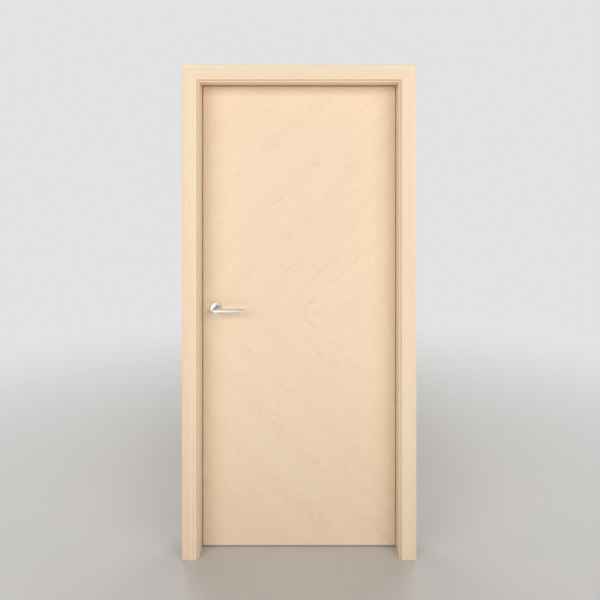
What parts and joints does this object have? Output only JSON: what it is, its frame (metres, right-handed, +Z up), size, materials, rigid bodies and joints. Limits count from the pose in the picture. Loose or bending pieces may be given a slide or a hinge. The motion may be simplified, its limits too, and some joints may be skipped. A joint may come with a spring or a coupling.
{
  "type": "interior door with frame",
  "caption": "Flush veneered interior door on butt hinges in a rebated frame with mitred flat casings, with a lever handle on round roses.",
  "frame": {"origin": "on the hinge jamb's wall-side face, at floor level, in the middle of the jamb's depth", "axes": "+Z up, +X out of the hinge jamb into the wall (to the right from the recessed side), +Y away from the recessed side, the way the leaf opens"},
  "size_m": [1, 0.19, 2.111],
  "materials": {
    "casing": "pale natural oak veneer, matt lacquer",
    "jamb": "pale natural oak veneer, matt lacquer",
    "leaf_veneer": "pale natural oak veneer, book-matched, matt lacquer",
    "leaf_frame": "solid edge, matt lacquer",
    "leaf_core": "tubular particle board",
    "seal": "matt brown",
    "steel": "satin",
    "handle": "satin"
  },
  "bodies": {
    "frame": {"hinge_jamb": "jamb", "lock_jamb": "jamb", "head_jamb": "jamb", "seal_left": "seal", "seal_right": "seal", "seal_head": "seal", "front_casing_left": "casing", "front_casing_right": "casing", "front_casing_head": "casing", "back_casing_left": "casing", "back_casing_right": "casing", "back_casing_head": "casing", "strike_plate": "steel", "hinge_frame_plate_upper": "steel", "hinge_pin_upper": "steel", "hinge_frame_plate_middle": "steel", "hinge_pin_middle": "steel", "hinge_frame_plate_lower": "steel", "hinge_pin_lower": "steel"},
    "leaf": {"lock_stile": "leaf_frame", "hinge_stile": "leaf_frame", "top_rail": "leaf_frame", "bottom_rail": "leaf_frame", "leaf_core": "leaf_core", "front_face_upper": "leaf_veneer", "front_face_lower": "leaf_veneer", "back_face_upper": "leaf_veneer", "back_face_lower": "leaf_veneer", "lock_faceplate": "steel", "latch_bolt": "steel", "front_rose": "handle", "back_rose": "handle", "hinge_leaf_plate_upper": "steel", "hinge_leaf_plate_middle": "steel", "hinge_leaf_plate_lower": "steel"},
    "lever": {"front_lever": "handle", "back_lever": "handle", "spindle": "steel"}
  },
  "joints": [
    {"name": "leaf_hinge", "type": "hinge", "parent": "frame", "child": "leaf", "pos_m": [-0.0225, 0.069, 1], "axis": [0, 0, -1], "range_deg": [0, 170]},
    {"name": "lever_turn", "type": "hinge", "parent": "leaf", "child": "lever", "pos_m": [-0.828, 0.04, 1.056], "axis": [0, 1, 0], "range_deg": [0, 45], "stiffness_Nm_per_rad": 1.2, "springref_deg": -34.38}
  ]
}
